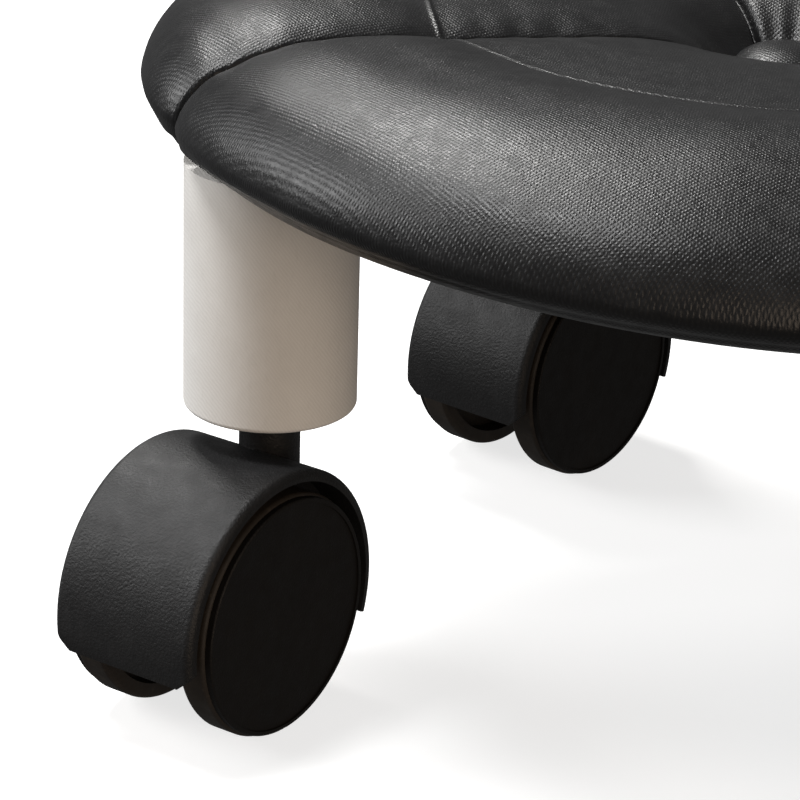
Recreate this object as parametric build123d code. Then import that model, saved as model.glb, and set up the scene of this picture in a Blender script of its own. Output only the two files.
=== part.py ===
from build123d import *
import math
import os

# Low rolling stool: a round tufted seat on four short legs, each leg on a hooded twin-wheel castor.
# Millimetres, +Z up, origin on the floor under the centre of the seat.

os.makedirs("parts", exist_ok=True)

# ---------- driving dimensions ----------

LEG_ANGLES = (225.0, 135.0, 45.0, 315.0)      # where the legs stand around the seat, degrees
TRAIL_ANGLES = (262.5, 258.0, 15.0, 350.0)    # where each castor's wheels trail at rest, degrees
LEG_CIRCLE_R = 106.5
LEG_R = 17.3
LEG_BOTTOM_Z = 60.9
LEG_TOP_Z = 111.4
LEG_EDGE_R = 1.0

BOARD_R = 118.0
BOARD_BOTTOM_Z = 112.6
BOARD_TOP_Z = 119.6
BOARD_EDGE_R = 2.0

COVER_T = 1.2
HEM_INNER_R = 84.0
RING_SEAM_R = 72.5
PANEL_GAP = 0.1
DIMPLE_R = 12.4
DIMPLE_Z = 121.8
PAD_OUTLINE = (                                # (radius, height) from the dimple's rim to the hem
    (15.2, 125.0), (21.0, 129.6), (31.0, 133.0), (48.0, 135.0), (70.0, 136.4), (90.0, 137.4),
    (105.0, 135.6), (116.6, 130.8), (124.8, 124.8), (128.4, 118.8), (127.2, 114.4), (123.6, 112.0),
)

BUTTON_R = 11.0
BUTTON_H = 5.4
BUTTON_EDGE_R = 2.4
CORD_R = 0.9
CORD_HOLE_R = 1.6
BOARD_CORD_HOLE_R = 3.0
ANCHOR_R = 9.0
ANCHOR_T = 1.0

DUST_COVER_R = 87.5
DUST_COVER_T = 0.8
STAPLE_COUNT = 24
STAPLE_CIRCLE_R = 85.8
STAPLE_W = 8.0
STAPLE_WIRE = 0.7
STAPLE_LEG = 5.5

BOLT_R = 3.9
BOLT_BOTTOM_Z = 94.0
NUT_BARREL_R = 5.2
NUT_FLANGE_R = 9.0
NUT_FLANGE_T = 1.2
NUT_BOTTOM_Z = 113.6

SOCKET_R = 5.5
SOCKET_LEN = 25.0
SOCKET_FLANGE_R = 8.0
SOCKET_FLANGE_T = 1.2
STEM_R = 4.0
STEM_BOTTOM_Z = 33.0
STEM_TOP_Z = 84.0
STEM_GROOVE_R = 3.2
STEM_GROOVE_Z = 78.0
GRIP_RING_H = 3.0
RUN_CLEARANCE = 0.05                           # radial, in every turning fit

WHEEL_R = 25.0
TRAIL = 17.0
HOOD_R = 29.7
HOOD_T = 2.3
HOOD_HALF_W = 17.0
HOOD_EDGE_R = 1.7
HOOD_FRONT_DROP = 19.0                         # degrees below the axle on the stem side
HOOD_REAR_DROP = 11.0                          # and on the trailing side
HOOD_CORNER = 3.5
NECK_R = 6.15
NECK_GAP = 0.35
CORE_HALF_W = 9.3
CORE_REAR = 8.0
CORE_FRONT = 9.5
CORE_BOTTOM_Z = 16.5

AXLE_R = 2.5
AXLE_HALF_LEN = 15.4
WHEEL_INNER_Y = 10.1
WHEEL_OUTER_Y = 16.6
WHEEL_HUB_Y = 9.5
RIM_T = 3.2
WEB_T = 2.2
HUB_R = 5.5
TREAD_EDGE_R = 0.9
CAP_R = 24.4
CAP_T = 1.5
CAP_BEAD_W = 1.0
CAP_BEAD_H = 0.35


def save(name, shape):
    """Write one sub-part to its own file."""
    export_step(shape, f"parts/{name}.step")


def cylinder_between(radius, low, high):
    """Upright cylinder about the Z axis from one height to another."""
    return Pos(0, 0, (low + high) / 2) * Cylinder(radius, high - low)


def box_between(low, high):
    """Box from its lowest corner to its highest corner."""
    centre = [(a + b) / 2 for a, b in zip(low, high)]
    size = [b - a for a, b in zip(low, high)]
    return Pos(*centre) * Box(*size)


def ring_at(z, radius):
    """Keep only the circular edges of one radius and height."""
    return lambda edge: (
        edge.geom_type == GeomType.CIRCLE
        and abs(edge.radius - radius) < 1e-3
        and abs(edge.arc_center.Z - z) < 1e-3
    )


def leg_places():
    """Centre of each leg as (x, y)."""
    places = []
    for angle in LEG_ANGLES:
        turn = math.radians(angle)
        places.append((LEG_CIRCLE_R * math.cos(turn), LEG_CIRCLE_R * math.sin(turn)))
    return places


# ---------- seat ----------


def inset(points, distance):
    """Move an outline's points inwards, each along its own normal."""
    moved = []
    for index, (radius, height) in enumerate(points):
        before = points[max(index - 1, 0)]
        after = points[min(index + 1, len(points) - 1)]
        along = (after[0] - before[0], after[1] - before[1])
        length = math.hypot(*along)
        moved.append((radius + along[1] / length * distance, height - along[0] / length * distance))
    return moved


def pad_solid(distance, bottom):
    """Turn the pad's outline, moved inwards by a distance, into a solid that ends at a height."""
    upper = inset(PAD_OUTLINE, distance)
    floor = DIMPLE_Z - distance
    centre = (0, 0, floor)
    dimple = (DIMPLE_R, 0, floor)
    curve = Spline(*[(radius, 0, height) for radius, height in [(DIMPLE_R, floor), *upper]])
    edge = (upper[-1][0], 0, upper[-1][1])
    corner = (upper[-1][0] - 2.0, 0, bottom)
    lines = [
        Line(centre, dimple),
        curve,
        Line(edge, corner),
        Line(corner, (0, 0, bottom)),
        Line((0, 0, bottom), centre),
    ]
    return revolve(make_face(lines), Axis.Z, 360)


def seat_board():
    """Plywood disc with a hole for each tee nut and one for the tuft cord."""
    board = cylinder_between(BOARD_R, BOARD_BOTTOM_Z, BOARD_TOP_Z)
    board = fillet(board.edges().filter_by(ring_at(BOARD_TOP_Z, BOARD_R)), BOARD_EDGE_R)
    board -= cylinder_between(BOARD_CORD_HOLE_R, BOARD_BOTTOM_Z - 1, BOARD_TOP_Z + 1)
    for x, y in leg_places():
        board -= Pos(x, y, 0) * nut_envelope()
    return board


def foam_pad(board):
    """Foam that lies on the board and wraps round its edge."""
    foam = pad_solid(COVER_T, BOARD_BOTTOM_Z)
    foam -= cylinder_between(BOARD_R, BOARD_BOTTOM_Z - 1, BOARD_TOP_Z)
    foam -= board
    return foam - cylinder_between(CORD_HOLE_R, BOARD_TOP_Z - 1, DIMPLE_Z + 1)


def cover_shell():
    """Whole leather cover: the pad's skin, turned under the board as a flat hem."""
    shell = pad_solid(0, LEG_TOP_Z) - pad_solid(COVER_T, BOARD_BOTTOM_Z)
    shell -= cylinder_between(HEM_INNER_R, LEG_TOP_Z - 1, BOARD_BOTTOM_Z)
    return shell - cylinder_between(CORD_HOLE_R, DIMPLE_Z - 5, DIMPLE_Z + 1)


def sector(start, inner, outer):
    """Quarter-turn block between two radii, a hair smaller than the seams it lies between."""
    tall = 60.0
    ring = cylinder_between(outer, 90, 90 + tall)
    if inner > 0:
        ring -= cylinder_between(inner, 90, 90 + tall)
    half = PANEL_GAP / 2
    quarter = box_between((half, half, 90), (200, 200, 90 + tall))
    return ring & (Rot(0, 0, start) * quarter)


def cover_panels(shell):
    """Four inner and four outer panels, divided by the cross seams and the ring seam."""
    for index, angle in enumerate(LEG_ANGLES, start=1):
        save(f"cover_inner_panel_{index}", shell & sector(angle, 0, RING_SEAM_R - PANEL_GAP / 2))
        save(f"cover_outer_panel_{index}", shell & sector(angle, RING_SEAM_R + PANEL_GAP / 2, 200))


def tuft_button():
    """Covered button that sits in the dimple, hollow below for the cord's loop."""
    button = cylinder_between(BUTTON_R, DIMPLE_Z, DIMPLE_Z + BUTTON_H)
    button = fillet(button.edges().filter_by(ring_at(DIMPLE_Z + BUTTON_H, BUTTON_R)), BUTTON_EDGE_R)
    return button - cylinder_between(CORD_R, DIMPLE_Z - 1, DIMPLE_Z + BUTTON_H / 2)


def tuft_cord():
    """Twine from the button through foam and board to its anchor."""
    return cylinder_between(CORD_R, BOARD_BOTTOM_Z - ANCHOR_T, DIMPLE_Z + BUTTON_H / 2)


def cord_anchor():
    """Washer that holds the cord under the board."""
    washer = cylinder_between(ANCHOR_R, BOARD_BOTTOM_Z - ANCHOR_T, BOARD_BOTTOM_Z)
    return washer - cylinder_between(CORD_R, BOARD_BOTTOM_Z - 2, BOARD_BOTTOM_Z + 1)


def dust_cover():
    """Thin cloth disc under the seat."""
    return cylinder_between(DUST_COVER_R, LEG_TOP_Z - DUST_COVER_T, LEG_TOP_Z)


def staples():
    """Ring of wire staples, sunk flush in the dust cover, that hold it and the hem to the board."""
    crown_z = LEG_TOP_Z - DUST_COVER_T
    half = STAPLE_WIRE / 2
    crown = box_between((-half, -STAPLE_W / 2, crown_z), (half, STAPLE_W / 2, crown_z + STAPLE_WIRE))
    group = []
    for index in range(STAPLE_COUNT):
        staple = crown
        for side in (-1, 1):
            edge = side * (STAPLE_W - STAPLE_WIRE) / 2
            low = (-half, edge - half, crown_z)
            high = (half, edge + half, crown_z + STAPLE_LEG)
            staple += box_between(low, high)
        turn = 360.0 * (index + 0.5) / STAPLE_COUNT
        group.append(Rot(0, 0, turn) * Pos(STAPLE_CIRCLE_R, 0, 0) * staple)
    return Compound(group)


# ---------- legs and their fixings ----------


def nut_envelope():
    """Space that one tee nut takes in the board, with the bolt's way through."""
    barrel = cylinder_between(NUT_BARREL_R, BOARD_BOTTOM_Z - 1, BOARD_TOP_Z)
    return barrel + cylinder_between(NUT_FLANGE_R, BOARD_TOP_Z - NUT_FLANGE_T, BOARD_TOP_Z + 1)


def tee_nuts():
    """One tee nut above each leg."""
    nut = cylinder_between(NUT_BARREL_R, NUT_BOTTOM_Z, BOARD_TOP_Z)
    nut += cylinder_between(NUT_FLANGE_R, BOARD_TOP_Z - NUT_FLANGE_T, BOARD_TOP_Z)
    nut -= cylinder_between(BOLT_R, NUT_BOTTOM_Z - 1, BOARD_TOP_Z + 1)
    return Compound([Pos(x, y, 0) * nut for x, y in leg_places()])


def hanger_bolts():
    """One double-ended bolt from each leg up into its tee nut."""
    bolt = cylinder_between(BOLT_R, BOLT_BOTTOM_Z, BOARD_TOP_Z - 0.5)
    bolt = chamfer(bolt.edges().filter_by(GeomType.CIRCLE), 0.8)
    return Compound([Pos(x, y, 0) * bolt for x, y in leg_places()])


def leg():
    """Plain round leg with a bolt hole above and a castor socket hole below."""
    body = cylinder_between(LEG_R, LEG_BOTTOM_Z, LEG_TOP_Z)
    body = fillet(body.edges().filter_by(ring_at(LEG_BOTTOM_Z, LEG_R)), LEG_EDGE_R)
    body -= cylinder_between(BOLT_R, BOLT_BOTTOM_Z, LEG_TOP_Z + 1)
    body -= cylinder_between(SOCKET_R, LEG_BOTTOM_Z - 1, LEG_BOTTOM_Z + SOCKET_LEN)
    return body - cylinder_between(SOCKET_FLANGE_R, LEG_BOTTOM_Z - 1, LEG_BOTTOM_Z + SOCKET_FLANGE_T)


def bolt_clearance():
    """Holes in the hem that let the bolts through."""
    hole = cylinder_between(BOLT_R + 1, LEG_TOP_Z - 1, BOARD_BOTTOM_Z + 1)
    return [Pos(x, y, 0) * hole for x, y in leg_places()]


def castor_socket():
    """Flanged sleeve pressed into the leg."""
    sleeve = cylinder_between(SOCKET_R, LEG_BOTTOM_Z, LEG_BOTTOM_Z + SOCKET_LEN)
    sleeve += cylinder_between(SOCKET_FLANGE_R, LEG_BOTTOM_Z, LEG_BOTTOM_Z + SOCKET_FLANGE_T)
    return sleeve - cylinder_between(STEM_R, LEG_BOTTOM_Z - 1, STEM_TOP_Z)


def castor_stem():
    """Steel pin, held in the socket by its grip ring; the castor turns on its lower end."""
    stem = cylinder_between(STEM_R, STEM_BOTTOM_Z, STEM_TOP_Z)
    stem = chamfer(stem.edges().filter_by(ring_at(STEM_TOP_Z, STEM_R)), 0.8)
    groove = cylinder_between(STEM_R + 1, STEM_GROOVE_Z, STEM_GROOVE_Z + GRIP_RING_H)
    groove -= cylinder_between(STEM_GROOVE_R, STEM_GROOVE_Z, STEM_GROOVE_Z + GRIP_RING_H)
    return stem - groove


def grip_ring():
    """Split spring ring in the stem's groove."""
    ring = cylinder_between(STEM_R, STEM_GROOVE_Z, STEM_GROOVE_Z + GRIP_RING_H)
    ring -= cylinder_between(STEM_GROOVE_R, STEM_GROOVE_Z - 1, STEM_GROOVE_Z + GRIP_RING_H + 1)
    return ring - box_between((0, -0.8, STEM_GROOVE_Z - 1), (STEM_R + 1, 0.8, STEM_GROOVE_Z + GRIP_RING_H + 1))


# ---------- castor, with its stem on Z and its wheels trailing towards +X ----------


def across(radius, low, high):
    """Cylinder about the axle, from one place across the castor to another."""
    return Pos(TRAIL, (low + high) / 2, WHEEL_R) * Rot(90, 0, 0) * Cylinder(radius, high - low)


def hood_arch():
    """Curved hood over both wheels, longer on the stem side, with clipped rear corners."""
    arch = across(HOOD_R, -HOOD_HALF_W, HOOD_HALF_W)
    arch = fillet(arch.edges().filter_by(GeomType.CIRCLE), HOOD_EDGE_R)
    arch -= across(HOOD_R - HOOD_T, -HOOD_HALF_W - 1, HOOD_HALF_W + 1)
    for way, drop in ((-1, HOOD_FRONT_DROP), (1, HOOD_REAR_DROP)):
        across_x = TRAIL + way * 60 * math.cos(math.radians(drop))
        tip = (across_x, WHEEL_R - 60 * math.sin(math.radians(drop)))
        below = Polyline((TRAIL, WHEEL_R), tip, (across_x, -50), (TRAIL, -50), close=True)
        arch -= extrude(Plane.XZ * make_face(below), 30, both=True)
    rear_z = WHEEL_R - HOOD_R * math.sin(math.radians(HOOD_REAR_DROP))
    for side in (-1, 1):
        corner = Polyline(
            (side * (HOOD_HALF_W - HOOD_CORNER), 0),
            (side * (HOOD_HALF_W + 1), 0),
            (side * (HOOD_HALF_W + 1), HOOD_CORNER + 1),
            close=True,
        )
        arch -= Pos(TRAIL + 20, 0, rear_z) * extrude(Plane.YZ * make_face(corner), 20, both=True)
    return arch


def hood_core():
    """Solid middle of the hood, between the wheels, that carries axle and stem."""
    low = (-CORE_FRONT, -CORE_HALF_W, CORE_BOTTOM_Z)
    high = (TRAIL + CORE_REAR, CORE_HALF_W, WHEEL_R + HOOD_R)
    return box_between(low, high) & across(HOOD_R - HOOD_T / 2, -CORE_HALF_W, CORE_HALF_W)


def castor_hood():
    """One moulded body: arch, core and the neck that turns on the stem."""
    neck_top = LEG_BOTTOM_Z - NECK_GAP
    body = hood_arch() + hood_core() + cylinder_between(NECK_R, WHEEL_R + 5, neck_top)
    body -= cylinder_between(STEM_R + RUN_CLEARANCE, STEM_BOTTOM_Z - 0.6, neck_top + 1)
    return body - across(AXLE_R, -HOOD_HALF_W, HOOD_HALF_W)


def axle():
    """Steel pin through the hood's core."""
    return across(AXLE_R, -AXLE_HALF_LEN, AXLE_HALF_LEN)


def wheel():
    """Wheel on the +Y side: tread rim, web and hub that runs on the axle."""
    body = across(WHEEL_R, WHEEL_INNER_Y, WHEEL_OUTER_Y)
    body = fillet(body.edges().filter_by(GeomType.CIRCLE), TREAD_EDGE_R)
    body -= across(WHEEL_R - RIM_T, WHEEL_INNER_Y - 1, WHEEL_OUTER_Y - WEB_T)
    body += across(HUB_R, WHEEL_HUB_Y, WHEEL_OUTER_Y - WEB_T / 2)
    return body - across(AXLE_R + RUN_CLEARANCE, WHEEL_HUB_Y - 1, AXLE_HALF_LEN + 0.3)


def wheel_cap():
    """Face disc on the outside of a wheel, with a fine raised bead round its edge."""
    outer = WHEEL_OUTER_Y + CAP_T
    cap = across(CAP_R, WHEEL_OUTER_Y, outer)
    rounded = cap.edges().filter_by(GeomType.CIRCLE).sort_by(Axis.Y)[-1]
    cap = fillet(rounded, 0.4)
    return cap - across(CAP_R - CAP_BEAD_W, outer - CAP_BEAD_H, outer + 1)


def place_castor(index, shape):
    """Turn a castor piece to its resting direction and move it under its leg."""
    x, y = leg_places()[index]
    return Pos(x, y, 0) * Rot(0, 0, TRAIL_ANGLES[index]) * shape


# ---------- write every node ----------


def write_seat():
    board = seat_board()
    save("seat_board", board)
    save("foam_pad", foam_pad(board))
    cover_panels(cover_shell() - bolt_clearance())
    save("tuft_button", tuft_button())
    save("tuft_cord", tuft_cord())
    save("cord_anchor", cord_anchor())
    save("dust_cover", dust_cover())
    save("staples", staples())
    save("tee_nuts", tee_nuts())
    save("hanger_bolts", hanger_bolts())


def write_legs():
    for index, (x, y) in enumerate(leg_places(), start=1):
        save(f"leg_{index}", Pos(x, y, 0) * leg())
        save(f"castor_{index}_socket", Pos(x, y, 0) * castor_socket())
        save(f"castor_{index}_stem", Pos(x, y, 0) * castor_stem())
        save(f"castor_{index}_grip_ring", Pos(x, y, 0) * grip_ring())


def write_castors():
    hood = castor_hood()
    left_wheel = wheel()
    left_cap = wheel_cap()
    pieces = {
        "hood": hood,
        "axle": axle(),
        "wheel_left": left_wheel,
        "wheel_right": mirror(left_wheel, Plane.XZ),
        "cap_left": left_cap,
        "cap_right": mirror(left_cap, Plane.XZ),
    }
    for index in range(len(LEG_ANGLES)):
        for name, shape in pieces.items():
            save(f"castor_{index + 1}_{name}", place_castor(index, shape))


write_seat()
write_legs()
write_castors()
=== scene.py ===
"""Looks for a low rolling stool: tufted round pad, four plain legs, hooded twin-wheel castors.

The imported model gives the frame. This file dresses its nodes, builds the upholstered pad, the covered
button and the cloth underside, and sets up floor, light and camera.
"""

import logging
import math
from dataclasses import dataclass, field
from enum import Enum

import bmesh
import bpy
import numpy as np
from mathutils import Matrix, Vector, noise

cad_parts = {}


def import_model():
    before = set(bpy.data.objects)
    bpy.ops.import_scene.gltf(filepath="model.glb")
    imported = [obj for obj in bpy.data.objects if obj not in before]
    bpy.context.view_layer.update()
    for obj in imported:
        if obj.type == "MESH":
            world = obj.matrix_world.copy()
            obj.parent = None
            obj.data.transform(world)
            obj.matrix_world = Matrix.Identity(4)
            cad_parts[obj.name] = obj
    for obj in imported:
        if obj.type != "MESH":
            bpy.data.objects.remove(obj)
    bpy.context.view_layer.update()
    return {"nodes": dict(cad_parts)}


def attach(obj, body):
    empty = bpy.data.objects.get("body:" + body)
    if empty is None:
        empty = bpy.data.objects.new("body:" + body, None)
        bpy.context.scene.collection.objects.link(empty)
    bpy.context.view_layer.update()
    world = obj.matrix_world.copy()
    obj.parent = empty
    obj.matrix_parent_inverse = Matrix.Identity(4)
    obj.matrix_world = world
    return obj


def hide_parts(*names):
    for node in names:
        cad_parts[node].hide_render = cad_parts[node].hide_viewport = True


LOG = logging.getLogger("stool")
MM = 0.001
SAME_PLACE = 1e-7
MARK_LAYER = "along"
HIDDEN = -1.0

Color = tuple[float, float, float]
Span = tuple[float, float]
Socket = bpy.types.NodeSocket
Outline = list[tuple[float, float]]


# ---------- small helpers ----------


def smooth_shade(mesh: bpy.types.Mesh) -> None:
    """Mark every face of a mesh as smooth."""
    mesh.polygons.foreach_set("use_smooth", [True] * len(mesh.polygons))


def new_object(name: str, mesh: bpy.types.Mesh) -> bpy.types.Object:
    """Link a new object for a mesh.

    Args:
        name: Name of the object.
        mesh: Mesh that it shows.

    Returns:
        The linked object, at the origin.
    """
    made = bpy.data.objects.new(name, mesh)
    bpy.context.scene.collection.objects.link(made)
    return made


def mesh_from(name: str, work: bmesh.types.BMesh) -> bpy.types.Mesh:
    """Turn a working bmesh into a smooth mesh with its faces pointing outwards.

    Args:
        name: Name of the mesh.
        work: Working mesh, freed afterwards.

    Returns:
        The finished mesh.
    """
    bmesh.ops.remove_doubles(work, verts=work.verts, dist=1e-6)
    bmesh.ops.recalc_face_normals(work, faces=work.faces)
    mesh = bpy.data.meshes.new(name)
    work.to_mesh(mesh)
    work.free()
    smooth_shade(mesh)
    return mesh


def spin_profile(
    work: bmesh.types.BMesh, points: Outline, steps: int, marks: list[float] | None = None
) -> None:
    """Spin an open outline of (radius, height) points once round the Z axis and close its poles.

    Args:
        work: Working mesh that takes the surface.
        points: Outline in metres.
        steps: Number of steps round the axis.
        marks: Number for each point, which its ring of vertices keeps in the layer MARK_LAYER.
    """
    layer = work.verts.layers.float.new(MARK_LAYER) if marks else None
    verts = [work.verts.new((radius, 0.0, height)) for radius, height in points]
    for vert, mark in zip(verts, marks or ()):
        vert[layer] = mark
    edges = [work.edges.new(pair) for pair in zip(verts, verts[1:])]
    bmesh.ops.spin(
        work,
        geom=[*verts, *edges],
        cent=(0, 0, 0),
        axis=(0, 0, 1),
        angle=2 * math.pi,
        steps=steps,
        use_merge=True,
    )
    bmesh.ops.remove_doubles(work, verts=work.verts, dist=SAME_PLACE)


def dress(item: bpy.types.Object, material: bpy.types.Material) -> None:
    """Give an object one material in every slot.

    Args:
        item: Object to dress.
        material: Its new material.
    """
    slots = max(1, len(item.data.materials))
    item.data.materials.clear()
    for _ in range(slots):
        item.data.materials.append(material)


def climb(value: np.ndarray, span: Span) -> np.ndarray:
    """Straight climb from 0 to 1 over a span of (start, length), or a fall if its length is negative."""
    return np.clip((value - span[0]) / span[1], 0, 1)


def ease(value: np.ndarray, span: Span) -> np.ndarray:
    """Smooth climb from 0 to 1 over a span of (start, length), or a fall if its length is negative."""
    share = climb(value, span)
    return share * share * (3 - 2 * share)


def bell(value: np.ndarray, width: float, power: float = 2.0) -> np.ndarray:
    """Bell that is 1 where the value is 0 and falls to 1/e at a width."""
    return np.exp(-((value / width) ** power))


def catmull(knots: np.ndarray, values: np.ndarray, wanted: np.ndarray) -> np.ndarray:
    """Smooth curve through values at knots.

    Args:
        knots: Rising places of the values.
        values: Values to pass through.
        wanted: Places to evaluate.

    Returns:
        The curve at the wanted places.
    """
    slopes = np.gradient(values, knots)
    index = np.clip(np.searchsorted(knots, wanted, side="right") - 1, 0, len(knots) - 2)
    span = knots[index + 1] - knots[index]
    part = (wanted - knots[index]) / span
    square, cube = part * part, part**3
    return (
        (2 * cube - 3 * square + 1) * values[index]
        + (cube - 2 * square + part) * span * slopes[index]
        + (3 * square - 2 * cube) * values[index + 1]
        + (cube - square) * span * slopes[index + 1]
    )


def lengths_along(points: np.ndarray) -> np.ndarray:
    """Distance of each point from the first, measured along the points."""
    return np.r_[0.0, np.cumsum(np.hypot(*np.diff(points, axis=0).T))]


def smooth_outline(corners: tuple[tuple[float, float], ...], count: int) -> np.ndarray:
    """Smooth curve through an outline's (radius, height) points.

    Args:
        corners: Points that the curve passes through.
        count: Number of points to give it.

    Returns:
        Array of (radius, height), evenly spaced.
    """
    rough = np.array(corners)
    knots = lengths_along(rough)
    wanted = np.linspace(0, knots[-1], count)
    return np.stack([catmull(knots, rough[:, axis], wanted) for axis in (0, 1)], axis=1)


# ---------- materials ----------


class NodeBook:
    """Short way to write a procedural material's nodes."""

    def __init__(self, name: str) -> None:
        """Start a material that has only a surface shader and its output.

        Args:
            name: Name of the material.
        """
        self.material = bpy.data.materials.new(name)
        self.material.use_nodes = True
        self.tree = self.material.node_tree
        self.tree.nodes.clear()
        self.output = self.tree.nodes.new("ShaderNodeOutputMaterial")
        self.shader = self.tree.nodes.new("ShaderNodeBsdfPrincipled")
        self.link(self.shader.outputs["BSDF"], self.output.inputs["Surface"])

    def link(self, source: Socket, target: Socket) -> None:
        """Join two sockets."""
        self.tree.links.new(source, target)

    def node(self, kind: str, **settings: object) -> bpy.types.Node:
        """Add a node.

        Args:
            kind: The node's type without its ShaderNode prefix.
            **settings: Attributes to set on it.

        Returns:
            The new node.
        """
        made = self.tree.nodes.new("ShaderNode" + kind)
        for key, value in settings.items():
            setattr(made, key, value)
        return made

    def place(self, stretch: tuple[float, float, float] = (1, 1, 1), turn: float = 0.0) -> Socket:
        """Object coordinates through a mapping.

        Args:
            stretch: Scale along each axis.
            turn: Turn about Z in degrees.

        Returns:
            The mapped coordinates.
        """
        coordinates = self.node("TexCoord")
        mapping = self.node("Mapping")
        mapping.inputs["Scale"].default_value = stretch
        mapping.inputs["Rotation"].default_value = (0, 0, math.radians(turn))
        self.link(coordinates.outputs["Object"], mapping.inputs["Vector"])
        return mapping.outputs["Vector"]

    def noise(self, where: Socket, scale: float, detail: float = 4.0, rough: float = 0.55) -> Socket:
        """Cloud noise.

        Args:
            where: Coordinates.
            scale: Cells per metre.
            detail: Octaves.
            rough: Weight of the fine octaves.

        Returns:
            The noise's value.
        """
        made = self.node("TexNoise")
        made.inputs["Scale"].default_value = scale
        made.inputs["Detail"].default_value = detail
        made.inputs["Roughness"].default_value = rough
        self.link(where, made.inputs["Vector"])
        return made.outputs["Fac"]

    def cells(self, where: Socket, scale: float, feature: str = "F1") -> Socket:
        """Cell distance, for pebbles and grain.

        Args:
            where: Coordinates.
            scale: Cells per metre.
            feature: Blender's name of the distance to measure.

        Returns:
            The distance.
        """
        made = self.node("TexVoronoi", feature=feature)
        made.inputs["Scale"].default_value = scale
        self.link(where, made.inputs["Vector"])
        return made.outputs["Distance"]

    def ramp(self, value: Socket, low: float, high: float, start: Color, end: Color) -> Socket:
        """Colour ramp of two stops.

        Args:
            value: What drives the ramp.
            low: Place of the first stop.
            high: Place of the second stop.
            start: Colour at the first stop.
            end: Colour at the second stop.

        Returns:
            The colour.
        """
        made = self.node("ValToRGB")
        first, second = made.color_ramp.elements
        first.position, second.position = low, high
        first.color = (*start, 1)
        second.color = (*end, 1)
        self.link(value, made.inputs["Fac"])
        return made.outputs["Color"]

    def remap(self, value: Socket, low: float, high: float, start: float, end: float) -> Socket:
        """Map a value from one span to another, clamped.

        Args:
            value: Value to map.
            low: Value that gives the start.
            high: Value that gives the end.
            start: Result at the low value.
            end: Result at the high value.

        Returns:
            The mapped value.
        """
        made = self.node("MapRange")
        for key, number in (("From Min", low), ("From Max", high), ("To Min", start), ("To Max", end)):
            made.inputs[key].default_value = number
        self.link(value, made.inputs["Value"])
        return made.outputs["Result"]

    def math(self, kind: str, left: Socket | float, right: Socket | float) -> Socket:
        """Arithmetic on sockets or numbers.

        Args:
            kind: Blender's name of the operation.
            left: First socket or number.
            right: Second socket or number.

        Returns:
            The result.
        """
        made = self.node("Math", operation=kind)
        for index, part in enumerate((left, right)):
            if isinstance(part, (int, float)):
                made.inputs[index].default_value = part
            else:
                self.link(part, made.inputs[index])
        return made.outputs[0]

    def mix(self, share: Socket, left: Socket | Color, right: Socket | Color) -> Socket:
        """Mix two colours, each a socket or three numbers.

        Args:
            share: How much of the right colour there is.
            left: Colour at a share of 0.
            right: Colour at a share of 1.

        Returns:
            The mixed colour.
        """
        share_slot, color_slots, result_slot = 0, (6, 7), 2
        made = self.node("Mix", data_type="RGBA")
        self.link(share, made.inputs[share_slot])
        for slot, part in zip(color_slots, (left, right)):
            if isinstance(part, tuple):
                made.inputs[slot].default_value = (*part, 1)
            else:
                self.link(part, made.inputs[slot])
        return made.outputs[result_slot]

    def bump(self, height: Socket, strength: float, depth: float, under: Socket | None = None) -> Socket:
        """Bump from a height.

        Args:
            height: Height from 0 to 1.
            strength: Strength of the bump.
            depth: Depth in metres for a height of 1.
            under: Normal of a coarser bump below this one.

        Returns:
            The normal.
        """
        made = self.node("Bump")
        made.inputs["Strength"].default_value = strength
        made.inputs["Distance"].default_value = depth
        self.link(height, made.inputs["Height"])
        if under is not None:
            self.link(under, made.inputs["Normal"])
        return made.outputs["Normal"]

    def finish(
        self, color: Socket | Color, rough: Socket | float, normal: Socket | None = None, **constants: float
    ) -> bpy.types.Material:
        """Wire the shader.

        Args:
            color: Base colour, a socket or three numbers.
            rough: Roughness, a socket or a number.
            normal: Normal, if the surface has one.
            **constants: Shader sockets to set, with _ for each space in the name.

        Returns:
            The finished material.
        """
        for key, part in (("Base Color", color), ("Roughness", rough)):
            if isinstance(part, tuple):
                self.shader.inputs[key].default_value = (*part, 1)
            elif isinstance(part, float):
                self.shader.inputs[key].default_value = part
            else:
                self.link(part, self.shader.inputs[key])
        if normal is not None:
            self.link(normal, self.shader.inputs["Normal"])
        for key, number in constants.items():
            self.shader.inputs[key.replace("_", " ")].default_value = number
        return self.material


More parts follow.
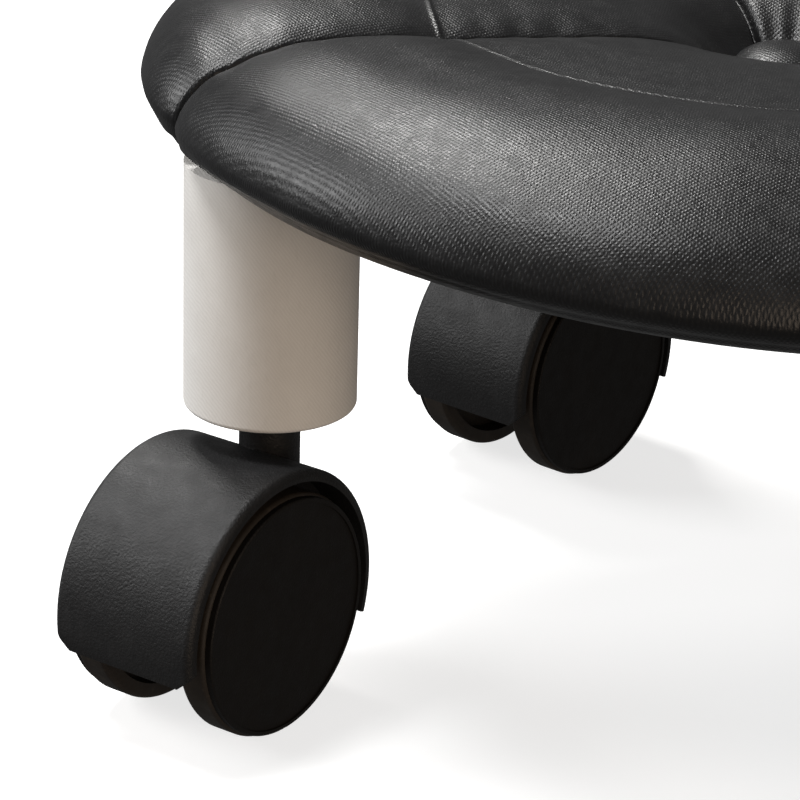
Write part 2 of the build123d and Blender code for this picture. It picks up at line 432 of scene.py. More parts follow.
@dataclass(frozen=True)
class GrainedLeather:
    """Coated leather with a pebbled grain, satin where it is stretched."""

    name: str = "charcoal_leather"
    dark: Color = (0.0065, 0.0065, 0.0068)
    light: Color = (0.0125, 0.0126, 0.0130)
    pit: Color = (0.004, 0.004, 0.0045)
    row_turns: tuple[float, float] = (33.0, 111.0)
    row_scale: float = 150.0
    row_stretch: float = 3.2
    row_share: float = 0.85
    pebble_per_m: float = 1500.0
    pebble_turn: float = 30.0
    pebble_share: float = 0.75
    fine_per_m: float = 2600.0
    fine_share: float = 0.5
    grain_depth: float = 0.00006
    cloud_per_m: float = 48.0
    satin_per_m: float = 300.0
    wave_per_m: float = 80.0
    wave_depth: float = 0.0008
    rough: tuple[float, float] = (0.30, 0.42)

    def make(self) -> bpy.types.Material:
        """Build the material."""
        book = NodeBook(self.name)
        where = book.place()
        cloud = book.noise(where, self.cloud_per_m, 5.0)
        fine = book.noise(where, self.fine_per_m, 3.0)
        pebbles = book.cells(book.place((1.0, 0.8, 1.0), self.pebble_turn), self.pebble_per_m, "SMOOTH_F1")
        rows = book.math("MULTIPLY", *(self.row(book, turn) for turn in self.row_turns))
        rows = book.math("MULTIPLY", rows, self.row_share)
        relief = book.math("SUBTRACT", rows, book.math("MULTIPLY", pebbles, self.pebble_share))
        relief = book.math("ADD", relief, book.math("MULTIPLY", fine, self.fine_share))
        color = book.ramp(cloud, 0.3, 0.72, self.dark, self.light)
        color = book.mix(book.remap(relief, -0.25, 0.35, 0.6, 0.0), color, self.pit)
        rough = book.remap(book.noise(where, self.satin_per_m, 4.0), 0.32, 0.68, *self.rough)
        wave = book.bump(book.noise(where, self.wave_per_m, 3.0), 0.10, self.wave_depth)
        normal = book.bump(relief, 1.0, self.grain_depth, wave)
        return book.finish(color, rough, normal, Specular_IOR_Level=0.30)

    def row(self, book: NodeBook, turn: float) -> Socket:
        """Soft rows of grain that run one way over the hide.

        Args:
            book: Material under construction.
            turn: Way that the rows run, in degrees.

        Returns:
            Height of the rows from 0 to 1.
        """
        bands = book.node("TexWave", wave_type="BANDS", bands_direction="X")
        bands.inputs["Scale"].default_value = self.row_scale
        bands.inputs["Distortion"].default_value = 1.6
        bands.inputs["Detail"].default_value = 1.0
        bands.inputs["Detail Scale"].default_value = 2.2
        book.link(book.place((self.row_stretch,) * 3, turn), bands.inputs["Vector"])
        return bands.outputs["Fac"]


class MouldTexture(Enum):
    """How a moulding's tool was finished: (grain per metre, grain depth in metres)."""

    SPARKED = (1700.0, 0.00026)
    FINE = (2300.0, 0.00014)
    SMOOTH = (900.0, 0.00003)


@dataclass(frozen=True)
class MouldedNylon:
    """Black moulded plastic with a tool texture, dust and light rubs."""

    name: str
    base: Color
    dusty: Color
    texture: MouldTexture
    rough: tuple[float, float]
    rub_share: float = 0.3
    specular: float = 0.45
    cloud_share: float = 0.25
    cloud_per_m: float = 70.0
    streak_per_m: float = 420.0
    streak_turn: float = 25.0
    satin_per_m: float = 260.0
    wave_per_m: float = 90.0
    wave_depth: float = 0.0004

    def make(self) -> bpy.types.Material:
        """Build the material."""
        book = NodeBook(self.name)
        per_m, depth = self.texture.value
        where = book.place()
        grain = book.noise(where, per_m, 3.0, 0.6)
        cloud = book.noise(where, self.cloud_per_m, 5.0, 0.6)
        streak = book.noise(book.place((1.0, 1.0, 0.16), self.streak_turn), self.streak_per_m, 4.0, 0.65)
        rub = book.remap(book.math("MULTIPLY", streak, cloud), 0.30, 0.46, 0.0, self.rub_share)
        color = book.ramp(cloud, 0.25, 0.85, self.base, self.clouded())
        color = book.mix(rub, color, self.dusty)
        speck = book.remap(grain, 0.58, 0.80, 0.0, 0.35)
        color = book.mix(speck, color, self.dusty)
        rough = book.remap(book.noise(where, self.satin_per_m, 4.0), 0.3, 0.7, *self.rough)
        wave = book.bump(book.noise(where, self.wave_per_m, 3.0), 0.04, self.wave_depth)
        normal = book.bump(grain, 0.7, depth, wave)
        return book.finish(color, rough, normal, Specular_IOR_Level=self.specular)

    def clouded(self) -> Color:
        """The base colour with a share of dust over it."""
        clean = 1 - self.cloud_share
        return tuple(clean * base + self.cloud_share * dust for base, dust in zip(self.base, self.dusty))


@dataclass(frozen=True)
class LegFinish:
    """Off-white matte coat with a faint slanted thread pattern."""

    name: str = "ivory_leg"
    light: Color = (0.80, 0.785, 0.76)
    shade: Color = (0.70, 0.68, 0.65)
    thread_shade: Color = (0.40, 0.375, 0.34)
    speck: Color = (0.36, 0.34, 0.31)
    cloud_per_m: float = 45.0
    thread_scale: float = 620.0
    thread_depth: float = 0.00008
    grain_per_m: float = 900.0
    grain_depth: float = 0.00009

    def make(self) -> bpy.types.Material:
        """Build the material."""
        book = NodeBook(self.name)
        where = book.place()
        cloud = book.noise(where, self.cloud_per_m, 5.0, 0.6)
        threads = book.node("TexWave", wave_type="BANDS", bands_direction="DIAGONAL")
        threads.inputs["Scale"].default_value = self.thread_scale
        threads.inputs["Distortion"].default_value = 2.2
        threads.inputs["Detail"].default_value = 2.0
        book.link(where, threads.inputs["Vector"])
        grain = book.noise(book.place((1.0, 1.0, 0.35)), self.grain_per_m, 4.0, 0.6)
        color = book.ramp(cloud, 0.25, 0.8, self.shade, self.light)
        color = book.mix(book.remap(threads.outputs["Fac"], 0.2, 0.9, 0.12, 0.0), color, self.thread_shade)
        color = book.mix(book.remap(grain, 0.55, 0.8, 0.0, 0.10), color, self.speck)
        rough = book.remap(grain, 0.3, 0.7, 0.58, 0.74)
        weave = book.bump(threads.outputs["Fac"], 0.22, self.thread_depth)
        normal = book.bump(grain, 0.35, self.grain_depth, weave)
        return book.finish(color, rough, normal, Specular_IOR_Level=0.32)


@dataclass(frozen=True)
class ZincSteel:
    """Zinc-plated steel with fine turning marks."""

    name: str = "zinc_steel"
    base: Color = (0.56, 0.57, 0.60)
    worn: float = 0.72
    marks_per_m: float = 700.0
    marks_depth: float = 0.00003

    def make(self) -> bpy.types.Material:
        """Build the material."""
        book = NodeBook(self.name)
        where = book.place((1.0, 1.0, 6.0))
        marks = book.noise(where, self.marks_per_m, 4.0, 0.6)
        color = book.ramp(marks, 0.3, 0.75, tuple(self.worn * part for part in self.base), self.base)
        rough = book.remap(marks, 0.3, 0.7, 0.26, 0.44)
        normal = book.bump(marks, 0.25, self.marks_depth)
        return book.finish(color, rough, normal, Metallic=1.0)


@dataclass(frozen=True)
class BirchPly:
    """Raw plywood with grain along X and its plies showing at the edge."""

    name: str = "birch_ply"
    light: Color = (0.60, 0.43, 0.26)
    dark: Color = (0.36, 0.23, 0.12)
    plies_scale: float = 350.0
    grain_per_m: float = 38.0
    grain_depth: float = 0.00015

    def make(self) -> bpy.types.Material:
        """Build the material."""
        book = NodeBook(self.name)
        grain = book.noise(book.place((1.0, 9.0, 9.0)), self.grain_per_m, 7.0, 0.65)
        plies = book.node("TexWave", wave_type="BANDS", bands_direction="Z")
        plies.inputs["Scale"].default_value = self.plies_scale
        book.link(book.place(), plies.inputs["Vector"])
        color = book.ramp(grain, 0.3, 0.75, self.dark, self.light)
        color = book.mix(book.remap(plies.outputs["Fac"], 0.35, 0.65, 0.0, 0.25), color, self.dark)
        normal = book.bump(grain, 0.4, self.grain_depth)
        return book.finish(color, 0.72, normal, Specular_IOR_Level=0.25)


@dataclass(frozen=True)
class PressedCloth:
    """Thin non-woven cloth with a pressed dot pattern and loose fibres."""

    name: str = "dust_cloth"
    base: Color = (0.016, 0.016, 0.017)
    fibre: Color = (0.045, 0.045, 0.048)
    dots_per_m: float = 520.0
    dots_turn: float = 45.0
    dots_depth: float = 0.00012
    fibres_per_m: float = 1900.0
    fibres_turn: float = 20.0
    fibres_depth: float = 0.00010

    def make(self) -> bpy.types.Material:
        """Build the material."""
        book = NodeBook(self.name)
        where = book.place((1.0, 1.0, 0.0), self.dots_turn)
        checks = book.node("TexVoronoi", feature="F1", distance="CHEBYCHEV")
        checks.inputs["Scale"].default_value = self.dots_per_m
        checks.inputs["Randomness"].default_value = 0.0
        book.link(where, checks.inputs["Vector"])
        dot = book.remap(checks.outputs["Distance"], 0.22, 0.36, 0.0, 1.0)
        fibres = book.noise(book.place((1.0, 0.3, 1.0), self.fibres_turn), self.fibres_per_m, 5.0, 0.7)
        color = book.ramp(fibres, 0.4, 0.75, self.base, self.fibre)
        normal = book.bump(dot, 0.5, self.dots_depth, book.bump(fibres, 0.5, self.fibres_depth))
        return book.finish(color, 0.88, normal, Specular_IOR_Level=0.2, Sheen_Weight=0.15)


@dataclass(frozen=True)
class WaxedTwine:
    """Pale twisted twine."""

    name: str = "waxed_twine"
    dark: Color = (0.42, 0.38, 0.31)
    light: Color = (0.68, 0.64, 0.55)
    twist_scale: float = 900.0
    twist_depth: float = 0.0002

    def make(self) -> bpy.types.Material:
        """Build the material."""
        book = NodeBook(self.name)
        twist = book.node("TexWave", wave_type="BANDS", bands_direction="DIAGONAL")
        twist.inputs["Scale"].default_value = self.twist_scale
        book.link(book.place(), twist.inputs["Vector"])
        color = book.ramp(twist.outputs["Fac"], 0.2, 0.8, self.dark, self.light)
        return book.finish(color, 0.7, book.bump(twist.outputs["Fac"], 0.6, self.twist_depth))


# ---------- upholstered seat ----------


@dataclass
class SeatCushion:
    """The stuffed, tufted leather pad with its seams, in millimetres.

    A span is (start, length) of a climb from 0 to 1. A width is where a bell has fallen to 1/e.
    """

    top_outline: tuple[tuple[float, float], ...] = (
        (0.0, 121.5), (7.0, 121.6), (11.2, 122.2), (14.0, 124.2), (18.0, 127.4), (24.0, 130.4),
        (34.0, 132.2), (48.0, 132.8), (62.0, 133.3), (74.0, 134.2), (90.0, 135.4), (103.0, 133.9),
        (112.4, 130.4), (119.4, 125.6), (123.6, 120.4), (124.8, 116.4), (124.4, 113.6), (122.2, 111.7),
        (117.0, 111.3), (110.0, 111.3),
    )
    hem_r: float = 84.0
    hem_z: float = 111.3
    board_r: float = 118.2
    board_middle_r: float = 60.0
    board_top: float = 119.8
    board_bottom: float = 112.5

    first_seam: float = 45.0
    groove_depth: float = 1.7
    groove_w: float = 0.75
    groove_span: Span = (6.0, 8.0)
    shoulder_depth: float = 0.9
    shoulder_w: float = 3.0
    shoulder_power: float = 1.5
    notch_w: float = 1.6

    ring_r: float = 72.5
    ring_ridge: float = 0.24
    ring_ridge_w: float = 0.55
    ring_pinch: float = 0.7
    ring_pinch_w: float = 6.0

    panel_rise: float = 3.7
    panel_span: Span = (10.0, 42.0)
    panel_shoulder: float = 9.0
    panel_power: float = 1.3
    edge_rise: float = 1.3
    edge_span: Span = (108.0, 14.0)
    rim_ease: float = 0.42
    rim_span: Span = (112.0, 10.0)
    under_fade: float = 1.1

    edge_sway: float = 3.3
    sway_seam_w: float = 16.0
    sway_above: float = 117.0
    over_span: Span = (88.0, 34.0)
    over_seam_hold: float = 0.3
    under_span: Span = (118.0, 5.5)
    under_seam_hold: float = 0.75

    pucker: float = 0.11
    pucker_count: int = 19
    pucker_drift: float = 1.7
    pucker_start: Span = (9.0, 5.0)
    pucker_end: Span = (30.0, -14.0)
    tug: float = 0.16
    tug_rate: float = 0.62
    tug_drift: float = 2.0
    tug_drift_rate: float = 0.11
    tug_w: float = 7.0
    tug_span: Span = (24.0, 16.0)

    pad_wave: float = 0.35
    pad_wave_per_m: float = 34.0
    pad_ripple: float = 0.14
    pad_ripple_per_m: float = 90.0
    wave_above: float = 113.5
    top_span: Span = (122.0, 6.0)
    hem_span: Span = (111.6, 3.0)

    rings: int = 250
    steps: int = 384
    ring_crowd: float = 7.0
    ring_crowd_w: float = 2.2
    ring_crowd_above: float = 125.0
    seam_even_share: float = 0.13
    seam_crowd_power: float = 2.6
    curve_points: int = 2000
    normal_points: int = 1200
    name: str = "seat_cushion"
    covers: tuple[str, ...] = field(
        default_factory=lambda: (
            "foam_pad",
            *(f"cover_{where}_panel_{index}" for where in ("inner", "outer") for index in (1, 2, 3, 4)),
        )
    )

    def outline(self, count: int, crowd: bool) -> np.ndarray:
        """Points along the cushion's outer outline, from the middle of the dimple to the hem.

        Args:
            count: Number of points.
            crowd: Whether to crowd points near the ring seam.

        Returns:
            Array of (radius, height).
        """
        curve = smooth_outline(self.top_outline, self.curve_points)
        length = lengths_along(curve)
        weight = np.ones_like(length)
        if crowd:
            near_ring = bell(curve[:, 0] - self.ring_r, self.ring_crowd_w)
            weight += self.ring_crowd * near_ring * (curve[:, 1] > self.ring_crowd_above)
        spread = np.r_[0.0, np.cumsum(0.5 * (weight[1:] + weight[:-1]) * np.diff(length))]
        wanted = np.linspace(0, spread[-1], count)
        place = np.interp(wanted, spread, length)
        points = np.stack([np.interp(place, length, curve[:, axis]) for axis in (0, 1)], axis=1)
        points[0, 0] = 0.0
        return points

    def hidden_outline(self) -> Outline:
        """Outline from the hem's inner edge round the board and back to the axis."""
        return [
            (self.hem_r, self.hem_z),
            (self.hem_r, self.board_bottom),
            (self.board_r, self.board_bottom),
            (self.board_r, self.board_top),
            (self.board_middle_r, self.board_top),
            (0.0, self.board_top),
        ]

    def seam_angle_off(self, angle: np.ndarray) -> np.ndarray:
        """Angle to the nearest cross seam.

        Args:
            angle: Angle round the axis in radians.

        Returns:
            Angle in radians, from 0 to an eighth of a turn.
        """
        quarter = math.pi / 2
        return np.abs((angle - math.radians(self.first_seam) + quarter / 2) % quarter - quarter / 2)

    def crowd_angle(self, angle: np.ndarray) -> np.ndarray:
        """Move evenly spaced angles towards the cross seams, so that the grooves get fine faces.

        Args:
            angle: Angle round the axis in radians.

        Returns:
            The moved angle in radians.
        """
        quarter = math.pi / 2
        first = math.radians(self.first_seam)
        turn = (angle - first) / quarter
        seam = np.floor(turn + 0.5)
        part = (turn - seam) * 2
        size = np.abs(part)
        moved = self.seam_even_share * size + (1 - self.seam_even_share) * size**self.seam_crowd_power
        return first + (seam + 0.5 * np.sign(part) * moved) * quarter

    def puff(self, radius: np.ndarray, angle: np.ndarray) -> np.ndarray:
        """How far a panel stands above its seams.

        Args:
            radius: Distance from the axis.
            angle: Angle round the axis in radians.

        Returns:
            Rise along the outline's normal.
        """
        away = radius * np.sin(self.seam_angle_off(angle))
        share = 1 - bell(away, self.panel_shoulder, self.panel_power)
        share = share + self.rim_ease * (1 - share) * ease(radius, self.rim_span)
        rise = self.panel_rise * ease(radius, self.panel_span) + self.edge_rise * ease(radius, self.edge_span)
        return rise * share - self.ring_pinch * bell(radius - self.ring_r, self.ring_pinch_w)

    def sway(self, radius: np.ndarray, angle: np.ndarray, height: np.ndarray) -> np.ndarray:
        """How far the rim rides up on one cross seam and down on the other.

        Args:
            radius: Distance from the axis.
            angle: Angle round the axis in radians.
            height: Height of the outline.

        Returns:
            Rise of each point.
        """
        near_seam = bell(radius * self.seam_angle_off(angle), self.sway_seam_w)
        over = ease(radius, self.over_span) * (1 - self.over_seam_hold * near_seam)
        under = ease(radius, self.under_span) * (1 - self.under_seam_hold * near_seam)
        reach = np.where(height > self.sway_above, over, under)
        return self.edge_sway * np.cos(2 * (angle - math.radians(self.first_seam))) * reach

    def seam_relief(self, radius: np.ndarray, angle: np.ndarray, top: np.ndarray) -> np.ndarray:
        """Grooves of the cross seams, ridge of the ring seam and the small folds beside them.

        Args:
            radius: Distance from the axis.
            angle: Angle round the axis in radians.
            top: 1 where a point belongs to the top of the pad, 0 below it.

        Returns:
            Move along the surface's normal.
        """
        away = radius * np.sin(self.seam_angle_off(angle))
        groove = self.groove_depth * bell(away, self.groove_w)
        groove += self.shoulder_depth * bell(away, self.shoulder_w, self.shoulder_power)
        groove *= climb(radius, self.groove_span)
        ridge = self.ring_ridge * bell(radius - self.ring_r, self.ring_ridge_w) * top
        folds = np.cos(self.pucker_count * angle + self.pucker_drift * np.sin(3 * angle))
        gather = self.pucker * folds * ease(radius, self.pucker_end) * ease(radius, self.pucker_start)
        pulls = np.cos(self.tug_rate * radius + self.tug_drift * np.sin(self.tug_drift_rate * radius))
        tug = self.tug * pulls * bell(away, self.tug_w, 1.0) * ease(radius, self.tug_span)
        return (ridge + gather + tug) * (1 - bell(away, self.notch_w)) - groove

    def wave(self, point: Vector) -> float:
        """Slow unevenness of the stuffing.

        Args:
            point: Place of a vertex in metres.

        Returns:
            Move along the surface's normal.
        """
        if point.z <= self.wave_above * MM:
            return 0.0
        slow = self.pad_wave * noise.noise(point * self.pad_wave_per_m)
        return slow + self.pad_ripple * noise.noise(point * self.pad_ripple_per_m)

    def grid(self) -> tuple[bmesh.types.BMesh, np.ndarray]:
        """Spin the closed outline and keep each vertex's place in it.

        Returns:
            The working mesh, and for each vertex its place in the outline, from 0 to 1 or HIDDEN, and its
            angle in radians.
        """
        shown = self.outline(self.rings, True)
        hidden = self.hidden_outline()
        points = [(radius * MM, height * MM) for radius, height in [*shown, *hidden]]
        marks = [*(index / (self.rings - 1) for index in range(self.rings)), *(HIDDEN for _ in hidden)]
        work = bmesh.new()
        spin_profile(work, points, self.steps, marks)
        bmesh.ops.recalc_face_normals(work, faces=work.faces)
        layer = work.verts.layers.float[MARK_LAYER]
        places = np.array([(vert[layer], math.atan2(vert.co.y, vert.co.x)) for vert in work.verts])
        return work, places

    def puffed(self, work: bmesh.types.BMesh, places: np.ndarray) -> np.ndarray:
        """Coordinates of the spun grid after its panels have been puffed up.

        Args:
            work: The grid's working mesh.
            places: Each vertex's place in the outline and its angle.

        Returns:
            Array of coordinates.
        """
        points = np.array([vert.co for vert in work.verts]) / MM
        radius = np.hypot(points[:, 0], points[:, 1])
        angle = self.crowd_angle(places[:, 1])
        slope = self.outline_normal(places[:, 0])
        shown = places[:, 0] >= 0
        rise = np.where(shown, self.puff(radius, angle), 0.0)
        rise *= np.where(slope[:, 1] < 0, np.clip(1 + self.under_fade * slope[:, 1], 0, 1), 1.0)
        sway = np.where(shown, self.sway(radius, angle, points[:, 2]), 0.0)
        height = points[:, 2] + rise * slope[:, 1] + sway
        radius = radius + rise * slope[:, 0]
        return np.stack([radius * np.cos(angle), radius * np.sin(angle), height], axis=1)

    def outline_normal(self, along: np.ndarray) -> np.ndarray:
        """Outward normal of the outline.

        Args:
            along: Places along the evenly spaced outline, from 0 to 1, or HIDDEN.

        Returns:
            Array of (radial, vertical) normals, which are 0 at hidden places.
        """
        curve = self.outline(self.normal_points, False)
        tangent = np.gradient(curve, lengths_along(curve), axis=0)
        tangent /= np.linalg.norm(tangent, axis=1, keepdims=True)
        normal = np.stack([-tangent[:, 1], tangent[:, 0]], axis=1)
        spot = np.clip(along, 0, 1) * (len(curve) - 1)
        found = np.stack([np.interp(spot, np.arange(len(curve)), normal[:, axis]) for axis in (0, 1)], axis=1)
        return np.where(along[:, None] >= 0, found, 0.0)

    def build(self) -> bpy.types.Object:
        """Returns:
            The cushion, which rides on the stool's body.
        """
        work, places = self.grid()
        base = self.puffed(work, places)
        for vert, point in zip(work.verts, base):
            vert.co = Vector(point) * MM
        work.normal_update()
        normals = np.array([vert.normal for vert in work.verts])
        radius = np.hypot(base[:, 0], base[:, 1])
        angle = np.arctan2(base[:, 1], base[:, 0])
        shown = places[:, 0] >= 0
        move = np.where(shown, self.seam_relief(radius, angle, climb(base[:, 2], self.top_span)), 0.0)
        move *= climb(base[:, 2], self.hem_span)
        for vert, normal, amount, seen in zip(work.verts, normals, move, shown):
            wave = self.wave(vert.co) if seen else 0.0
            vert.co += Vector(normal) * ((amount + wave) * MM)
        work.verts.layers.float.remove(work.verts.layers.float[MARK_LAYER])
        made = new_object(self.name, mesh_from(self.name, work))
        dress(made, GrainedLeather().make())
        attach(made, "stool")
        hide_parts(*self.covers)
        return made


@dataclass
class TuftButton:
    """Covered button with its leather gathered towards the back, in millimetres."""

    radius: float = 11.0
    outline: tuple[tuple[float, float], ...] = (
        (0.0, 127.9), (3.0, 127.8), (6.0, 127.2), (8.4, 126.1), (10.0, 124.7), (10.8, 123.2), (10.6, 122.2),
        (9.4, 121.7), (5.0, 121.6), (0.0, 121.6),
    )
    outline_points: int = 46
    steps: int = 180
    pleats: int = 15
    pleat_depth: float = 0.28
    pleat_start: float = 0.72
    pleat_drift: float = 2.2
    name: str = "covered_button"

    def build(self) -> bpy.types.Object:
        """Returns:
            The button, which rides on the stool's body.
        """
        curve = smooth_outline(self.outline, self.outline_points)
        curve[[0, -1], 0] = 0.0
        work = bmesh.new()
        spin_profile(work, [(max(radius, 0.0) * MM, height * MM) for radius, height in curve], self.steps)
        for vert in work.verts:
            away = vert.co.xy.length
            angle = math.atan2(vert.co.y, vert.co.x)
            wobble = noise.noise(Vector((math.cos(angle), math.sin(angle), 0.3)) * 2.5)
            reach = max(0.0, away / (self.radius * MM) - self.pleat_start) / (1 - self.pleat_start)
            fold = math.cos(self.pleats * angle + self.pleat_drift * wobble) * reach
            vert.co.xy *= 1 - fold * self.pleat_depth * MM / max(away, 1e-6)
        made = new_object(self.name, mesh_from(self.name, work))
        dress(made, GrainedLeather(name="button_leather").make())
        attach(made, "stool")
        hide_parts("tuft_button")
        return made


@dataclass
class DustCloth:
    """Round cloth stretched under the board and held by staples, in millimetres."""

    radius: float = 87.4
    height: float = 110.75
    thickness: float = 0.45
    staples: int = 24
    staple_pull: float = 0.09
    staple_reach: float = 0.82
    drift: float = 0.12
    drift_per_m: float = 28.0
    rings: int = 36
    steps: int = 192
    name: str = "dust_cloth"

    def build(self) -> bpy.types.Object:
        """Returns:
            The cloth, which rides on the stool's body.
        """
        work = bmesh.new()
        under = [(self.radius * index / self.rings, self.height) for index in range(self.rings + 1)]
        over = [(radius, height + self.thickness) for radius, height in reversed(under)]
        spin_profile(work, [(radius * MM, height * MM) for radius, height in [*under, *over]], self.steps)
        for vert in work.verts:
            reach = vert.co.xy.length / (self.radius * MM)
            angle = math.atan2(vert.co.y, vert.co.x)
            near_edge = max(0.0, (reach - self.staple_reach) / (1 - self.staple_reach))
            wrinkle = self.staple_pull * math.cos(self.staples * angle) * near_edge
            drift = noise.noise(Vector((vert.co.x, vert.co.y, 0.0)) * self.drift_per_m)
            vert.co.z -= (wrinkle + self.drift * drift * (1 - reach)) * MM
        made = new_object(self.name, mesh_from(self.name, work))
        dress(made, PressedCloth().make())
        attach(made, "stool")
        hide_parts("dust_cover")
        return made


# ---------- hard parts ----------


class Part(Enum):
    """Kinds of hard sub-part, each with words that its nodes' names hold."""

    HOOD = ("_hood",)
    WHEEL = ("_wheel_",)
    CAP = ("_cap_",)
    LEG = ("leg_",)
    SOCKET = ("_socket",)
    STEEL = ("_stem", "_grip_ring", "_axle", "cord_anchor", "staples", "tee_nuts", "hanger_bolts")
    BOARD = ("seat_board",)
    TWINE = ("tuft_cord",)

    def owns(self, node: str) -> bool:
        """Whether a node belongs to this kind of part."""
        return any(word in node for word in self.value)


@dataclass
class HardParts:
    """Dresses every CAD node that the soft pieces don't replace."""

    nodes: dict[str, bpy.types.Object]
    hood: MouldedNylon = MouldedNylon(
        name="hood_nylon",
        base=(0.0070, 0.0070, 0.0073),
        dusty=(0.034, 0.034, 0.0355),
        texture=MouldTexture.SPARKED,
        rough=(0.44, 0.58),
        rub_share=0.22,
        specular=0.29,
    )
    wheel: MouldedNylon = MouldedNylon(
        name="tread_nylon",
        base=(0.016, 0.0125, 0.0095),
        dusty=(0.080, 0.062, 0.046),
        texture=MouldTexture.SMOOTH,
        rough=(0.50, 0.68),
        rub_share=0.40,
        specular=0.3,
    )
    # Wheel-face caps: the tread's own brown nylon, darkened to about a quarter as painted shade for the faces
    # turned away from the light.
    cap: MouldedNylon = MouldedNylon(
        name="cap_nylon",
        base=(0.0042, 0.0034, 0.0028),
        dusty=(0.016, 0.0125, 0.0095),
        texture=MouldTexture.FINE,
        rough=(0.50, 0.64),
        rub_share=0.20,
        specular=0.22,
    )
    socket: MouldedNylon = MouldedNylon(
        name="socket_nylon",
        base=(0.02, 0.02, 0.02),
        dusty=(0.05, 0.05, 0.05),
        texture=MouldTexture.SMOOTH,
        rough=(0.4, 0.5),
    )

    def finishes(self) -> dict[Part, bpy.types.Material]:
        """Make one material for each kind of part.

        Returns:
            The material of each kind.
        """
        return {
            Part.HOOD: self.hood.make(),
            Part.WHEEL: self.wheel.make(),
            Part.CAP: self.cap.make(),
            Part.LEG: LegFinish().make(),
            Part.SOCKET: self.socket.make(),
            Part.STEEL: ZincSteel().make(),
            Part.BOARD: BirchPly().make(),
            Part.TWINE: WaxedTwine().make(),
        }

    def dress_all(self) -> int:
        """Give each node the finish of the first kind that owns it.

        Returns:
            How many nodes were dressed.
        """
        made = self.finishes()
        count = 0
        for name, item in self.nodes.items():
            kind = next((part for part in Part if part.owns(name)), None)
            if kind is not None:
                dress(item, made[kind])
                count += 1
        return count


# ---------- floor, light, camera ----------


@dataclass(frozen=True)
class Lamp:
    """One soft square light: where it hangs, in degrees and metres, its power in watts and its colour."""

    name: str
    azimuth: float
    elevation: float
    distance: float
    size: float
    power: float
    color: Color


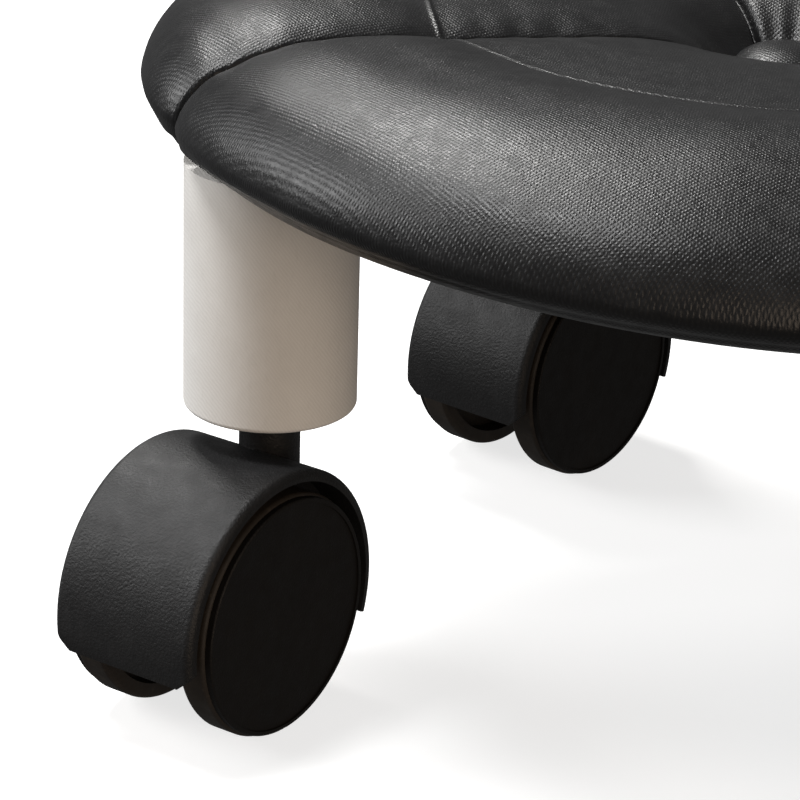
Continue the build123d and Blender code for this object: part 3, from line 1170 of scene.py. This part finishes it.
@dataclass
class Studio:
    """Plain pale floor, soft light and the camera, in metres and degrees."""

    camera_place: tuple[float, float, float] = (0.2449, -0.6344, 0.3280)
    camera_azimuth: float = 27.5
    camera_pitch: float = 22.46
    camera_roll: float = 1.55
    camera_lens: float = 157.5
    camera_sensor: float = 36.0
    camera_clip: tuple[float, float] = (0.05, 60.0)
    floor_size: float = 12.0
    floor_tones: tuple[float, float] = (0.44, 0.46)
    floor_cloud_per_m: float = 3.0
    floor_glow: float = 0.74
    air_glow: float = 0.13
    lit_place: tuple[float, float, float] = (0.0, -0.04, 0.09)
    lamps: tuple[Lamp, ...] = (
        Lamp("back_light", 142.0, 52.0, 1.7, 0.40, 22.0, (1.0, 0.99, 0.97)),
        Lamp("high_light", 210.0, 66.0, 1.7, 0.40, 22.0, (1.0, 1.0, 1.0)),
        Lamp("side_light", 203.0, 27.0, 1.9, 0.9, 26.0, (1.0, 1.0, 1.0)),
        Lamp("warm_fill", 318.0, 10.0, 1.8, 1.3, 15.0, (1.0, 0.80, 0.62)),
    )

    def build_floor(self) -> bpy.types.Object:
        """Lay a pale sweep under the stool.

        Returns:
            The floor, which is staging and no part of the stool.
        """
        work = bmesh.new()
        bmesh.ops.create_grid(work, x_segments=2, y_segments=2, size=self.floor_size / 2)
        floor = new_object("floor", mesh_from("floor", work))
        book = NodeBook("pale_floor")
        low, high = ((tone,) * 3 for tone in self.floor_tones)
        tone = book.ramp(book.noise(book.place(), self.floor_cloud_per_m, 2.0), 0.3, 0.7, low, high)
        book.shader.inputs["Emission Color"].default_value = (1.0, 1.0, 1.0, 1)
        dress(floor, book.finish(tone, 0.9, None, Specular_IOR_Level=0.0, Emission_Strength=self.floor_glow))
        floor.visible_diffuse = False
        floor.visible_glossy = False
        return floor

    def hang(self, lamp: Lamp) -> None:
        """Hang one soft light that looks at the stool.

        Args:
            lamp: The light to hang.
        """
        data = bpy.data.lights.new(lamp.name, "AREA")
        data.shape = "SQUARE"
        data.size = lamp.size
        data.energy = lamp.power
        data.color = lamp.color
        made = bpy.data.objects.new(lamp.name, data)
        bpy.context.scene.collection.objects.link(made)
        flat, rise = math.radians(lamp.azimuth), math.radians(lamp.elevation)
        away = Vector((math.cos(flat) * math.cos(rise), math.sin(flat) * math.cos(rise), math.sin(rise)))
        made.location = Vector(self.lit_place) + away * lamp.distance
        made.rotation_euler = (-away).to_track_quat("-Z", "Y").to_euler()

    def build_lights(self) -> None:
        """Light the stool from the left and from above, with a weak warm fill."""
        world = bpy.data.worlds.new("studio_air")
        world.use_nodes = True
        air = world.node_tree.nodes["Background"]
        air.inputs["Color"].default_value = (1.0, 1.0, 1.0, 1)
        air.inputs["Strength"].default_value = self.air_glow
        bpy.context.scene.world = world
        for lamp in self.lamps:
            self.hang(lamp)

    def build_camera(self) -> bpy.types.Object:
        """Place the camera.

        Returns:
            The camera.
        """
        data = bpy.data.cameras.new("camera")
        data.sensor_width = self.camera_sensor
        data.lens = self.camera_lens
        data.clip_start, data.clip_end = self.camera_clip
        camera = bpy.data.objects.new("camera", data)
        bpy.context.scene.collection.objects.link(camera)
        turn = Matrix.Rotation(math.radians(self.camera_azimuth), 4, "Z")
        tilt = Matrix.Rotation(math.radians(90 - self.camera_pitch), 4, "X")
        roll = Matrix.Rotation(math.radians(self.camera_roll), 4, "Z")
        camera.matrix_world = Matrix.Translation(self.camera_place) @ turn @ tilt @ roll
        bpy.context.scene.camera = camera
        return camera

    def set_view(self) -> None:
        """Choose how light becomes picture tones."""
        bpy.context.scene.view_settings.view_transform = "Standard"
        bpy.context.scene.view_settings.look = "None"


def main() -> None:
    """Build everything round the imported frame."""
    logging.basicConfig(level=logging.INFO, format="%(message)s")
    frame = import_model()
    studio = Studio()
    studio.build_camera()
    studio.build_floor()
    studio.build_lights()
    studio.set_view()
    LOG.info("dressed %d nodes", HardParts(frame["nodes"]).dress_all())
    for piece in (SeatCushion(), TuftButton(), DustCloth()):
        made = piece.build()
        LOG.info("built %s with %d faces", made.name, len(made.data.polygons))


if __name__ == "__main__":
    main()
